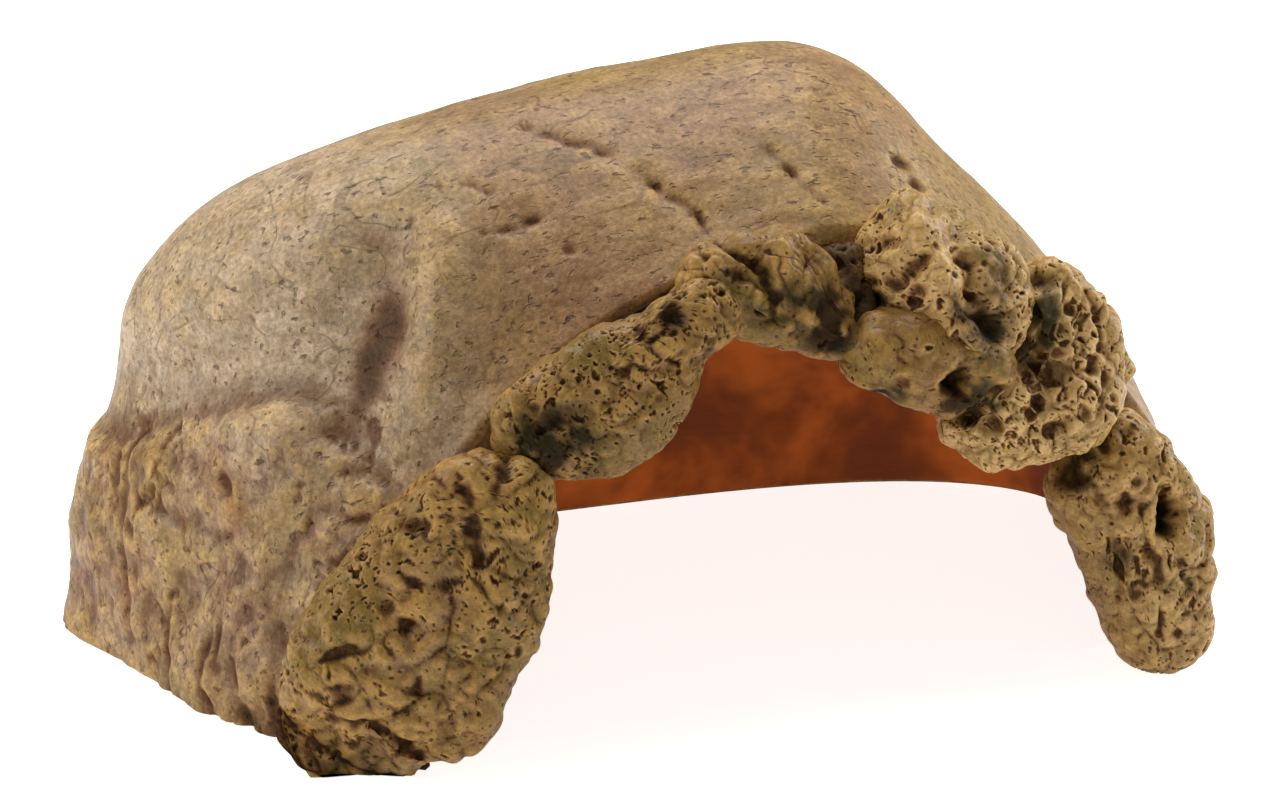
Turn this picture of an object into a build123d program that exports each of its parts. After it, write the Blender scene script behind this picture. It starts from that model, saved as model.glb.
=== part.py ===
from build123d import *
import os
from math import cos, pi, radians, sin

# A resin hide cave: a rounded rock shell, open at the front, with loose-looking stones
# bonded round its mouth. +X right, +Y from the mouth to the back, +Z up, millimetres.
# The model is laid out with Y = 0 on the mouth's rim and X = 0 between the two foot stones,
# and is moved at the end so that its origin is the middle of its base.

os.makedirs("parts", exist_ok=True)

# ---- driving dimensions ----
left_reach = 140.0       # crest line to the widest point of the left flank
right_reach = 112.0      # crest line to the widest point of the right flank
crest_height = 134.0     # floor to the top of the roof
shell_depth = 138.0      # mouth rim to the back wall
crest_x = 12.0           # the crest line stands this far right of the mouth's middle
wall = 7.0               # thickness of the cast shell
coat = 2.0               # thickness of the brushed resin coat inside
coat_gap = 1.5           # the coat stops this far above the floor
bond = 1.0               # putty between the rim and a stone
stone_bulk = 24.0        # thickness of the largest stones, front to back
heel_bulge = 9.0         # how far the low back lobe of the left flank stands out
boulder_bulge = 4.0      # how far the low front lobe of the left flank stands out
pore_radius = 3.6        # the round pore in the right foot stone
pore_depth = 9.0
socket_radius = 3.4      # the two dark sockets under the brow stone
socket_depth = 7.0

# ---- the shell's proportions: shares along the depth, 0 at the mouth and 1 at the back ----
mouth_left, mouth_right, mouth_top = 0.785, 0.82, 0.79  # the mouth's size, of the widest
left_full, right_full, top_full = 0.70, 0.36, 0.42       # where each reaches its full size
roof_turn, roof_power = 0.36, 2.2        # where the roof starts down to the back, how square
plan_turn, plan_power = 0.62, 2.6        # where the sides start to close in, how square
mouth_left_power, left_power = 2.1, 4.6  # how square the left flank's arch is, at the
mouth_right_power, right_power = 1.8, 1.5    # mouth and behind it, and the right flank's
power_full = 0.4                         # where the arch reaches the second of these
left_lean = 0.145                        # the roof's fall towards the left flank
run_out = 0.06                           # the lofts start this far in front of the rim
skirt = 4.0                              # and this far below the floor, then are cut
closing_angles = (25, 50, 70, 80, 86)    # where the closing curve is sectioned

# The stones' places and outlines were drawn for a mouth of this size, and stretch with it.
drawn_left, drawn_right, drawn_height = 140.0, 112.0, 134.0


def ease(t):
    """0 up to 1 with flat ends."""
    t = min(max(t, 0.0), 1.0)
    return t * t * (3 - 2 * t)


def flank_lobe(y, z, middle_y, middle_z, half_y, half_z):
    """A soft round lobe that fades away from its middle."""
    return 1 / (1 + ((y - middle_y) / half_y) ** 4 + ((z - middle_z) / half_z) ** 4)


def arch_point(share, angle, inset, squeeze):
    """A point of the arch at this share of the depth: a superellipse about the crest line
    whose squareness grows towards the left flank, and whose roof falls to the left."""
    left = left_reach * (mouth_left + (1 - mouth_left) * ease(share / left_full))
    right = right_reach * (mouth_right + (1 - mouth_right) * ease(share / right_full))
    rise = sin(pi / 2 * min(share / top_full, 1))
    height = crest_height * (mouth_top + (1 - mouth_top) * rise) - inset
    past = min(max((share - roof_turn) / (1 - roof_turn), 0), 1)
    height *= (1 - past ** roof_power) ** (1 / roof_power)
    half = (right if angle < pi / 2 else left) - inset
    half *= squeeze
    behind = ease(share / power_full)
    on_left = mouth_left_power + (left_power - mouth_left_power) * behind
    on_right = mouth_right_power + (right_power - mouth_right_power) * behind
    power = on_right + (on_left - on_right) * ease((angle / pi - 0.36) / 0.34)
    reach = ((abs(cos(angle)) / half) ** power + (sin(angle) / height) ** power) ** (-1 / power)
    x, z = reach * cos(angle), reach * sin(angle)
    z *= 1 - left_lean * max(-x, 0) / left_reach
    y = share * (shell_depth - inset)
    lobes = heel_bulge * flank_lobe(y, z, 0.71 * shell_depth, 0, 30, 46)
    lobes += boulder_bulge * flank_lobe(y, z, 0.30 * shell_depth, 16, 30, 46)
    x -= lobes * ease((-x - 50) / 40)
    return crest_x + x, z


def stations():
    """The lofts' sections: share of the depth, and how far the sides have closed in."""
    for step in (-run_out, 0.0, 0.12, 0.24, 0.36, 0.49, plan_turn):
        yield step, 1.0
    for angle in closing_angles:
        turn = radians(angle)
        close = sin(turn) ** (2 / plan_power)
        yield plan_turn + (1 - plan_turn) * close, cos(turn) ** (2 / plan_power)


def vault(inset):
    """The dome as a solid, inset from the outer surface, reaching past rim and floor."""
    with BuildPart() as dome:
        for share, squeeze in stations():
            with BuildSketch(Plane.XZ.offset(-share * (shell_depth - inset))):
                points = [arch_point(share, pi * i / 18, inset, squeeze) for i in range(19)]
                with BuildLine():
                    Spline(points)
                    Polyline(points[-1], (points[-1][0], -skirt), (points[0][0], -skirt),
                             points[0])
                make_face()
        loft()
    return dome.part


outer_dome = vault(0)
cavity_dome = vault(wall)
room_dome = vault(wall + coat)

# ---- the cast shell and the coat inside it ----
with BuildPart() as cave_shell:
    add(outer_dome)
    add(cavity_dome, mode=Mode.SUBTRACT)
    split(bisect_by=Plane.XZ, keep=Keep.BOTTOM)
    split(bisect_by=Plane.XY, keep=Keep.TOP)

with BuildPart() as inner_coat:
    add(cavity_dome)
    add(room_dome, mode=Mode.SUBTRACT)
    split(bisect_by=Plane.XZ, keep=Keep.BOTTOM)
    split(bisect_by=Plane.XY.offset(coat_gap), keep=Keep.TOP)

# The rim's whole thickness, one putty layer longer to the front: what stones are notched by.
with BuildPart() as rim_ring:
    add(outer_dome)
    add(room_dome, mode=Mode.SUBTRACT)
    split(bisect_by=Plane.XZ.offset(bond), keep=Keep.BOTTOM)

with BuildPart() as putty_ring:
    add(rim_ring.part)
    split(bisect_by=Plane.XZ, keep=Keep.TOP)
    split(bisect_by=Plane.XY.offset(coat_gap), keep=Keep.TOP)


def stretch(x):
    """How much the mouth is wider than drawn, on the side of the crest where x is."""
    return right_reach / drawn_right if x > crest_x else left_reach / drawn_left


def stone_plane(middle, yaw, lean):
    """The plane through a stone's middle that its outline is drawn on, facing forwards."""
    x, y, z = middle
    x = crest_x + (x - crest_x) * stretch(x)
    z *= crest_height / drawn_height
    turn, tip = radians(yaw), radians(lean)
    facing = (-sin(turn) * cos(tip), -cos(turn) * cos(tip), sin(tip))
    return Plane(origin=(x, y, z), x_dir=(cos(turn), -sin(turn), 0), z_dir=facing)


def pebble(middle, yaw, lean, bulk, outline):
    """A rounded stone: its outline at full size in the middle, smaller to front and back."""
    across, up = stretch(middle[0]), crest_height / drawn_height
    thickness = bulk * stone_bulk
    with BuildPart() as stone:
        for place, size in ((-0.5, 0.66), (-0.3, 0.93), (0, 1), (0.3, 0.92), (0.5, 0.66)):
            with BuildSketch(stone_plane(middle, yaw, lean).offset(place * thickness)):
                with BuildLine():
                    Spline([(u * across * size, v * up * size) for u, v in outline],
                           periodic=True)
                make_face()
        loft()
        split(bisect_by=Plane.XY, keep=Keep.TOP)
    return stone.part


# Middle, turn to the left, lean back, thickness as a part of stone_bulk, and outline.
stones = {
    "left_foot_stone": ((-88, -8, 35), 18, 10, 1.0, (
        (22, 33), (32, 26), (31, 10), (27, -9), (19, -22), (13, -38), (-10, -38),
        (-22, -27), (-22, -8), (-8, 14), (6, 28))),
    "right_foot_stone": ((83, -9, 31), 6, 4, 1.0, (
        (-12, 23), (-5, 28), (6, 22), (15, 11), (19, -1), (18, -18), (15, -34), (2, -34),
        (-5, -23), (-12, -6), (-18, 6), (-18, 16))),
    "rough_stone": ((57, -10, 75), -5, 16, 1.0, (
        (-2, 18), (5, 21), (14, 16), (20, 6), (21, -8), (15, -20), (2, -23), (-14, -20),
        (-24, -12), (-16, -4), (-8, 4))),
    "ridge_stone": ((34, -6, 98), 8, 28, 1.0, (
        (-17, 6), (-12, 13), (-5, 14), (4, 10), (13, 3), (19, -7), (16, -18), (9, -23),
        (0, -20), (-11, -17), (-18, -6))),
    "brow_stone": ((27, -14, 77), 5, 0, 0.85, (
        (-17, 6), (-14, 13), (-6, 13), (7, 9), (18, 5), (21, -5), (14, -11), (4, -11),
        (-7, -6), (-15, -1))),
    "top_stone": ((-8, -5, 97), 5, 22, 0.8, (
        (-14, 6), (-8, 11), (4, 11), (14, 6), (20, -3), (20, -15), (10, -15), (-3, -12),
        (-11, -3))),
    "left_arch_stone": ((-43, -7, 80), 14, 16, 0.85, (
        (-21, -5), (-20, -16), (-9, -22), (3, -21), (11, -15), (19, -5), (27, 6),
        (31, 14), (25, 19), (15, 18), (2, 11), (-10, 3))),
    "wedge_stone": ((12, -4, 95), 5, 25, 0.7, (
        (-6, 5), (0, 9), (6, 6), (9, -2), (6, -12), (0, -14), (-6, -5))),
    "gravel_fill": ((47, -4, 88), 0, 20, 0.7, (
        (-12, 4), (-4, 10), (6, 9), (12, 2), (10, -9), (0, -13), (-10, -8))),
}

hung = ("brow_stone", "wedge_stone")      # held by their neighbours, clear of the rim

# ---- the stones, each shaped to the rim and to the stones already in place ----
pieces = {"cave_shell": cave_shell.part, "inner_coat": inner_coat.part}
placed = []
for name, (middle, yaw, lean, bulk, outline) in stones.items():
    blank = pebble(middle, yaw, lean, bulk, outline)
    with BuildPart() as stone:
        add(blank)
        add(rim_ring.part, mode=Mode.SUBTRACT)
        for neighbour in placed:
            add(neighbour, mode=Mode.SUBTRACT)
        if name == "right_foot_stone":
            with Locations(stone_plane(middle, yaw, lean).offset(stone_bulk / 2)
                           * Location((3, 2))):
                Cylinder(pore_radius, 2 * pore_depth, mode=Mode.SUBTRACT)
        if name == "brow_stone":
            with Locations(*[stone_plane(middle, yaw, lean).offset(bulk * stone_bulk / 2)
                             * Location((across, 0)) for across in (3, 12)]):
                Cylinder(socket_radius, 2 * socket_depth, mode=Mode.SUBTRACT)
    body = stone.part.solids().sort_by(SortBy.VOLUME)[-1]
    placed.append(body)
    pieces[name] = body
    if name in hung:
        continue
    with BuildPart() as putty:
        add(blank)
        add(putty_ring.part, mode=Mode.INTERSECT)
        for neighbour in placed:
            add(neighbour, mode=Mode.SUBTRACT)
    bead = putty.part.solids().sort_by(SortBy.VOLUME)[-1]
    placed.append(bead)
    pieces[name.replace("stone", "bond").replace("fill", "bond")] = bead

# ---- the origin goes to the middle of the base, and every piece is written ----
box = Compound(children=[Compound([p]) for p in pieces.values()]).bounding_box()
shift = Location((-box.center().X, -box.center().Y, -box.min.Z))
for name, piece in pieces.items():
    with BuildPart() as node:
        add(piece.moved(shift))
    node.part.label = name
    export_step(node.part, f"parts/{name}.step")
print("overall size", box.size)
print("shift", shift.position)
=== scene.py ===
"""The finished look of a resin hide cave: a smooth rock dome with pitted stones round its
mouth and a glowing terracotta room inside. Every surface is worked out with numpy from the
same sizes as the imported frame, and finished with procedural materials."""
from functools import cache
from math import cos, pi, radians, sin

import bpy
import numpy as np
from bpy.props import FloatProperty, FloatVectorProperty, IntProperty, PointerProperty
from bpy.types import Operator, Panel, PropertyGroup
from mathutils import Matrix, Vector


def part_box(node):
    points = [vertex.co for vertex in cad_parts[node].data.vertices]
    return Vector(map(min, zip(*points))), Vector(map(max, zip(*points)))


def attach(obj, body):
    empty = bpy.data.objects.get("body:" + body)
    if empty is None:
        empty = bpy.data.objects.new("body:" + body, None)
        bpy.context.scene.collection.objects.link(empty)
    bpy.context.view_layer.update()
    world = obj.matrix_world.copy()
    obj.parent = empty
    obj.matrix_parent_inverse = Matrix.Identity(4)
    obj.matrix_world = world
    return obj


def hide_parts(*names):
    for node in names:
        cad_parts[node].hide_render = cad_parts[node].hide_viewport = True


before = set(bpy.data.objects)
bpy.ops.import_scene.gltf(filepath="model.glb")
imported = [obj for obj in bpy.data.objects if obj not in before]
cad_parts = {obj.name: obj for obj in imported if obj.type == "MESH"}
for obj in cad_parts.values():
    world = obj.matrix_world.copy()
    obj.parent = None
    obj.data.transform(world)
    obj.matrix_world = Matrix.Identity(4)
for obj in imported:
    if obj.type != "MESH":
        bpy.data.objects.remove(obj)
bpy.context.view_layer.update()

bl_info = {
    "name": "Resin Hide Cave",
    "version": (1, 0, 0),
    "blender": (4, 5, 0),
    "location": "View3D > Sidebar > Cave",
    "description": "Builds the finished surfaces and materials of a resin hide cave",
    "category": "Object",
}

MM = 0.001


def length(name, description, millimetres):
    """A size property, given in millimetres and kept in metres."""
    return FloatProperty(name=name, description=description, default=millimetres * MM,
                         unit="LENGTH", subtype="DISTANCE", precision=4)


def share(name, description, value):
    """A plain factor."""
    return FloatProperty(name=name, description=description, default=value)


def colour(name, description, value):
    """A linear colour."""
    return FloatVectorProperty(name=name, description=description, default=value, size=3,
                               min=0, max=1, subtype="COLOR")


class ShellSettings(PropertyGroup):
    left_reach: length("Left reach", "Crest line to the widest point of the left flank", 140)
    right_reach: length("Right reach", "Crest line to the widest of the right flank", 112)
    crest_height: length("Crest height", "Floor to the top of the roof", 134)
    depth: length("Depth", "Mouth rim to the back wall", 138)
    crest_x: length("Crest offset", "How far right of the mouth's middle the crest is", 12)
    wall: length("Wall", "Thickness of the cast shell", 7)
    coat: length("Coat", "Thickness of the coat inside", 2)
    coat_gap: length("Coat gap", "The coat stops this far above the floor", 1.5)
    heel_bulge: length("Heel", "How far the low back lobe stands out", 9)
    boulder_bulge: length("Boulder", "How far the low front lobe stands out", 4)
    lip: length("Lip", "Radius of the rounded rim of the mouth", 1.0)
    columns: IntProperty(name="Columns", description="Squares over the arch", default=346)
    rows: IntProperty(name="Rows", description="Squares from mouth to back", default=248)


class StoneSettings(PropertyGroup):
    bulk: length("Bulk", "Thickness of the largest stones, front to back", 24)
    pit_depth: share("Pits", "Depth of the pits, of the usual", 1.0)
    lump: share("Lumps", "Strength of the stones' uneven shape, of the usual", 1.0)
    detail: IntProperty(name="Detail", description="Squares along a ball's side", default=126)


class FinishSettings(PropertyGroup):
    ochre: colour("Ochre", "The shell's main colour", (0.49, 0.30, 0.09))
    straw: colour("Straw", "The stones' main colour", (0.37, 0.205, 0.052))
    olive: colour("Olive", "Greenish yellow wash", (0.24, 0.165, 0.03))
    mauve: colour("Mauve", "Pinkish wash", (0.44, 0.245, 0.13))
    rust: colour("Rust", "Reddish brown in the pits", (0.17, 0.058, 0.014))
    # chalk is pale brushing, and on the shoulder also a painted sheen
    chalk: colour("Chalk", "Pale pinkish brushing on the left flank", (0.66, 0.49, 0.32))
    # cream is dry brushing, and on the crowns also a painted highlight
    cream: colour("Cream", "Dry brushing on the palest stones", (0.66, 0.44, 0.19))
    stone_grey: colour("Grey", "Grey wash on the shell's shoulder", (0.31, 0.235, 0.155))
    umber: colour("Umber", "Dark wash in cracks and pits", (0.030, 0.013, 0.004))
    moss: colour("Moss", "Green black in the deep crevices", (0.010, 0.012, 0.003))
    terracotta: colour("Terracotta", "The coat inside", (0.33, 0.075, 0.008))
    # ember and the glow paint a glow into the coat: an emission and ember patches, as if light
    # came through it
    ember: colour("Ember", "Light that comes through the coat", (0.75, 0.16, 0.015))
    painted_glow: share("Glow", "Strength of the light through the coat", 0.2)


class StageSettings(PropertyGroup):
    azimuth: FloatProperty(name="Azimuth", description="The camera's turn to the left",
                           default=radians(20), subtype="ANGLE")
    elevation: FloatProperty(name="Elevation", description="The camera's height angle",
                             default=radians(18), subtype="ANGLE")
    distance: length("Distance", "Camera to the point it looks at", 837)
    lens: share("Lens", "Focal length in millimetres on a 36 mm sensor", 101.25)
    floor: colour("Floor", "The pale floor", (0.88, 0.88, 0.87))
    key: share("Key", "Power of the large left light, in watts", 3.6)
    fill: share("Fill", "Power of the right light, in watts", 4.8)
    top: share("Top", "Power of the overhead light, in watts", 7.0)
    front: share("Front", "Power of the weak front light, in watts", 0.15)
    sky: share("Sky", "Strength of the even light all round", 0.17)


# ---- numpy helpers: blends, noise, pits and grooves ------------------------------------

def ease(t):
    """0 up to 1 with flat ends: three t squared less two t cubed."""
    t = np.clip(t, 0.0, 1.0)
    return t * t * (3 - 2 * t)


def between(low, high, t):
    """A blend of two values: the first at 0 and the second at 1."""
    return low + (high - low) * t


def away(points, spot, radius):
    """Distance from a spot, in radii."""
    return np.linalg.norm(points - np.array(spot, float), axis=1) / radius


def dice(cells, seed):
    """One repeatable number from 0 to 1 for each whole-number cell: its coordinates times
    large primes, mixed by exclusive or, a shift and a multiplication."""
    c = cells.astype(np.int64)
    n = c[..., 0] * 73856093 ^ c[..., 1] * 19349663 ^ c[..., 2] * 83492791 ^ seed * 2654435
    n = ((n ^ (n >> 13)) * 1274126177) & 0x7FFFFFFF
    n = ((n ^ (n >> 11)) * 668265263) & 0x7FFFFFFF
    return ((n ^ (n >> 15)) & 0xFFFFF) / 0xFFFFF


def noise(points, size, seed=0):
    """Smooth noise from -1 to 1: random numbers at the corners of cubes of this size,
    blended across each cube by an eased fraction."""
    p = points / size + 91.7
    base = np.floor(p)
    f = ease(p - base)
    total = 0.0
    for corner in range(8):
        bits = np.array([(corner >> k) & 1 for k in range(3)])
        weight = np.prod(np.where(bits, f, 1 - f), axis=-1)
        total = total + weight * dice(base + bits, seed)
    return 2 * total - 1


TURN = np.array(Matrix.Rotation(0.9, 3, Vector((1, 2, 3))))


def layers(points, size, count, seed=0, fade=0.5):
    """Several noises added, from -1 to 1: each has half the size of the one before, is
    fainter by this factor and is turned on."""
    total, weight, full = 0.0, 1.0, 0.0
    for k in range(count):
        points = points @ TURN
        total = total + weight * noise(points, size / 2 ** k, seed + 17 * k)
        full += weight
        weight *= fade
    return total / full


def bent(points, size, amount, seed):
    """Points moved about by smooth noise, so that patterns on them lose their regular look."""
    return points + amount * np.stack([noise(points, size, seed + k) for k in range(3)],
                                      axis=1)


def cobbles(points, size, seed=0):
    """Rounded lumps with sharp valleys between them, from 0 to 1: noise less its sign."""
    return np.abs(noise(points @ TURN, size, seed) + 0.3 * noise(points, size / 2, seed + 3))


def cavities(points, size, seed, cluster, cover):
    """Ragged hollows from 0 to 1: an eased step on layered noise of bent points, which more
    of the surface passes where the cluster is high."""
    field = layers(bent(points, size * 0.8, size * 0.35, seed + 50), size, 3, seed, 0.6)
    return ease((field - (0.42 - cover) + 0.22 * cluster) / 0.2)


def pits(points, spacing, small, large, seed, share_kept=1.0):
    """Bowls from 0 to 1: each cube of this spacing may hold one, at a random place and of a
    random radius, and its depth falls with the square of the distance from its middle."""
    p = bent(points, spacing * 0.5, spacing * 0.16, seed + 60) / spacing + 57.3
    base = np.floor(p)
    deepest = np.zeros(len(points))
    for step in range(27):
        cell = base + np.array([step % 3 - 1, step // 3 % 3 - 1, step // 9 - 1])
        middle = cell + np.stack([dice(cell, seed + k) for k in (1, 2, 3)], axis=-1)
        radius = between(small, large, dice(cell, seed + 4) ** 2) / spacing
        far = np.linalg.norm(p - middle, axis=-1) / radius
        bowl = np.clip(1 - far ** 2, 0, 1) ** 1.3 * radius * spacing / large
        deepest = np.maximum(deepest, bowl * (dice(cell, seed + 5) < share_kept))
    return deepest


def along(points, line):
    """Distance to a line of straight runs, and how far along it the nearest point is, from
    0 to 1: the shortest over the runs."""
    line = np.asarray(line, float)
    best = np.full(len(points), 1e9)
    place = np.zeros(len(points))
    for k in range(max(len(line) - 1, 1)):
        start, run = line[k], line[min(k + 1, len(line) - 1)] - line[k]
        t = np.clip((points - start) @ run / max(run @ run, 1e-9), 0, 1)
        far = np.linalg.norm(points - start - t[:, None] * run, axis=-1)
        place = np.where(far < best, (k + t) / max(len(line) - 1, 1), place)
        best = np.minimum(best, far)
    return best, place


def groove(points, line, width, tail=0.35):
    """A soft trough from 0 to 1 along a line, narrower towards its ends."""
    far, place = along(points, line)
    taper = between(tail, 1, np.sin(pi * np.clip(place, 0.02, 0.98)) ** 0.6)
    return np.exp(-(far / (width * taper)) ** 2) * taper


# ---- numpy helpers: meshes --------------------------------------------------------------

def grid_faces(rows, columns, first=0):
    """The squares of a grid of points numbered row by row."""
    i, j = np.meshgrid(np.arange(rows - 1), np.arange(columns - 1), indexing="ij")
    corner = (first + i * columns + j).ravel()
    return np.stack([corner, corner + 1, corner + columns + 1, corner + columns], axis=1)


def zip_loops(loop_a, place_a, loop_b, place_b):
    """Triangles between two open runs of points whose places along them rise together: all
    edges are taken in the order of their middles, and each one is joined to the point that
    the other run has reached."""
    middle = np.concatenate([(place_a[1:] + place_a[:-1]) / 2,
                             (place_b[1:] + place_b[:-1]) / 2])
    from_a = np.arange(len(middle)) < len(loop_a) - 1
    order = np.argsort(middle, kind="stable")
    from_a = from_a[order]
    a = np.cumsum(from_a) - from_a
    b = np.cumsum(~from_a) - ~from_a
    ahead_a = loop_a[np.minimum(a + 1, len(loop_a) - 1)]
    ahead_b = loop_b[np.minimum(b + 1, len(loop_b) - 1)]
    third = np.where(from_a, ahead_a, ahead_b)
    return np.stack([loop_a[a], loop_b[b], third], axis=1)


def vertex_normals(points, quads):
    """Each point's outward direction: the cross products of its squares' diagonals, added
    up and brought to length one."""
    cross = np.cross(points[quads[:, 2]] - points[quads[:, 0]],
                     points[quads[:, 3]] - points[quads[:, 1]])
    total = np.stack([np.bincount(quads.ravel(), np.repeat(cross[:, k], 4), len(points))
                      for k in range(3)], axis=1)
    return total / np.maximum(np.linalg.norm(total, axis=1, keepdims=True), 1e-12)


def smoothed(values, quads, rounds):
    """Values at the points, evened out: each becomes the mean of its neighbours' along the
    squares' edges, this many times over."""
    start = quads.ravel()
    end = np.roll(quads, -1, axis=1).ravel()
    both, other = np.concatenate([start, end]), np.concatenate([end, start])
    count = np.maximum(np.bincount(both, minlength=len(values)), 1)
    values = values.reshape(len(values), -1)
    for _ in range(rounds):
        values = np.stack([np.bincount(both, values[other, k], len(values)) / count
                           for k in range(values.shape[1])], axis=1)
    return values


def hollow_and_crown(points, quads, wide_rounds, hollow, crown, holes=0.0):
    """Two washes from 0 to 1: how far each point lies below its near and its wide surroundings,
    and how far above them, each by its own pair of strengths. The second is painted pale, as
    brushing and as a painted highlight. The surroundings are the surface evened out by a few
    rounds and by many."""
    normals = vertex_normals(points, quads)
    near, wide = (np.sum((smoothed(points, quads, rounds) - points) * normals, axis=1)
                  for rounds in (3, wide_rounds))
    return (np.clip(near * hollow[0] + wide * hollow[1] + holes, 0, 1),
            np.clip(-near * crown[0] - wide * crown[1], 0, 1))


def ball(side):
    """Directions all round, and their squares: the six faces of a cube, cut into side by
    side squares of equal angle, blown up to a ball, with the cube's edges merged."""
    t = np.tan(np.linspace(-pi / 4, pi / 4, side + 1))
    a, b = np.meshgrid(t, t, indexing="ij")
    one = np.ones_like(a)
    faces = [(one, a, b), (-one, b, a), (b, one, a), (a, -one, b), (a, b, one), (b, a, -one)]
    points = np.concatenate([np.stack(f, axis=-1).reshape(-1, 3) for f in faces])
    squares = np.concatenate([grid_faces(side + 1, side + 1, k * (side + 1) ** 2)
                              for k in range(6)])[:, ::-1]
    points /= np.linalg.norm(points, axis=1, keepdims=True)
    _, first, back = np.unique(np.round(points * 1e5).astype(np.int64), axis=0,
                               return_index=True, return_inverse=True)
    return points[first], back.ravel()[squares]


def make_piece(name, points, faces, wash, material, slot, *nodes, pale=0.5):
    """A mesh object from millimetre points in the mouth's frame and lists of faces. Its wash,
    which also carries painted light, is a colour attribute: hollows in red, crowns in green for
    pale brushing and a painted highlight, stain in blue for dark marks and painted shade, and
    in its fourth channel how pale the whole piece is."""
    mesh = bpy.data.meshes.new(name)
    vertices = (points * MM + origin()).astype(np.float32)
    mesh.from_pydata(vertices, [], [face for part in faces for face in part.tolist()])
    layer = mesh.attributes.new("wash", "FLOAT_COLOR", "POINT")
    rgba = np.concatenate([np.clip(wash, 0, 1), np.full((len(wash), 1), pale)], axis=1)
    layer.data.foreach_set("color", rgba.astype(np.float32).ravel())
    mesh.shade_smooth()
    ends = np.empty(2 * len(mesh.edges), np.int32)
    mesh.edges.foreach_get("vertices", ends)
    on_floor = (points[:, 2] < 0.001)[ends].reshape(-1, 2).all(axis=1)
    mesh.attributes.new("sharp_edge", "BOOLEAN", "EDGE").data.foreach_set("value", on_floor)
    mesh.materials.append(material)
    piece = bpy.data.objects.new(name, mesh)
    bpy.context.scene.collection.objects.link(piece)
    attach(piece, "root")
    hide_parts(*nodes)
    return piece


# ---- the dome's formula -----------------------------------------------------------------

# The dome's proportions, as in the frame. At the mouth the reaches and the height are these
# shares of the full ones, and they are full from these shares of the depth on.
MOUTH_LEFT, MOUTH_RIGHT, MOUTH_TOP = 0.785, 0.82, 0.79
LEFT_FULL, RIGHT_FULL, TOP_FULL = 0.70, 0.36, 0.42
# Where the roof and the plan begin to close, as a share of the depth, and how squarely.
ROOF_TURN, ROOF_POWER = 0.36, 2.2
PLAN_TURN, PLAN_POWER = 0.62, 2.6
# The arch's squareness on each side, at the mouth and from a share of the depth on, and
# where it changes over from right to left: a first share of the half turn, and how many more.
LEFT_POWERS, RIGHT_POWERS, POWER_FULL = (2.1, 4.6), (1.8, 1.5), 0.4
POWER_FROM, POWER_WITHIN = 0.36, 0.34
LEFT_LEAN = 0.145
# The lobes' share of the depth and height, and their size along and up, in millimetres.
HEEL, BOULDER, LOBE = (0.71, 0), (0.30, 16), (30, 46)
# Points each way of the shell's and the coat's plain faces, and of the coat's brushed face.
PLAIN_GRID, BRUSHED_GRID = (60, 100), (150, 220)


def settings():
    """The scene's own settings, group by group."""
    scene = bpy.context.scene
    return scene.cave_shell, scene.cave_stones, scene.cave_finish, scene.cave_stage


def dome_point(place, angle, inset=0.0, squeeze=1.0):
    """A point of the dome in millimetres, at a share of the depth and an angle from the
    right floor over the crest to the left floor. Each arch is a superellipse about the crest
    line; its width and height rise from the mouth's, its squareness grows to the left and
    away from the mouth, its roof leans to the left and falls to the back, and two soft lobes
    push its lower left flank out."""
    shell = bpy.context.scene.cave_shell
    left_reach, right_reach, crest, depth = (
        size / MM for size in (shell.left_reach, shell.right_reach, shell.crest_height,
                               shell.depth))
    left = left_reach * between(MOUTH_LEFT, 1, ease(place / LEFT_FULL))
    right = right_reach * between(MOUTH_RIGHT, 1, ease(place / RIGHT_FULL))
    rise = np.sin(pi / 2 * np.minimum(place / TOP_FULL, 1))
    height = crest * between(MOUTH_TOP, 1, rise) - inset
    past = np.clip((place - ROOF_TURN) / (1 - ROOF_TURN), 0, 1)
    height = height * (1 - past ** ROOF_POWER) ** (1 / ROOF_POWER)
    half = (np.where(angle < pi / 2, right, left) - inset) * squeeze
    behind = ease(place / POWER_FULL)
    power = between(between(*RIGHT_POWERS, behind), between(*LEFT_POWERS, behind),
                    ease((angle / pi - POWER_FROM) / POWER_WITHIN))
    reach = ((np.abs(np.cos(angle)) / half) ** power
             + (np.sin(angle) / height) ** power) ** (-1 / power)
    x, z = reach * np.cos(angle), reach * np.sin(angle)
    z = z * (1 - LEFT_LEAN * np.maximum(-x, 0) / left_reach)
    y = place * (depth - inset) + 0 * x
    out = 0.0
    for bulge, (back, up) in ((shell.heel_bulge, HEEL), (shell.boulder_bulge, BOULDER)):
        lobe = 1 / (1 + ((y - back * depth) / LOBE[0]) ** 4 + ((z - up) / LOBE[1]) ** 4)
        out = out + bulge / MM * lobe
    x = x - out * ease((-x - 50) / 40)
    return np.stack([shell.crest_x / MM + x, y, z], axis=-1)


def closing(step):
    """Share of the depth and squeeze of the sides at a step from 0 to 1: level steps as far
    as the plan's turn, then a superellipse's quarter round to the back wall."""
    angle = np.clip((step - 0.5) * 2, 0, 1) * pi / 2
    round_back = between(PLAN_TURN, 1, np.sin(angle) ** (2 / PLAN_POWER))
    place = np.where(step < 0.5, PLAN_TURN * step * 2, round_back)
    return place, np.maximum(np.cos(angle), 1e-9) ** (2 / PLAN_POWER)


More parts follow.
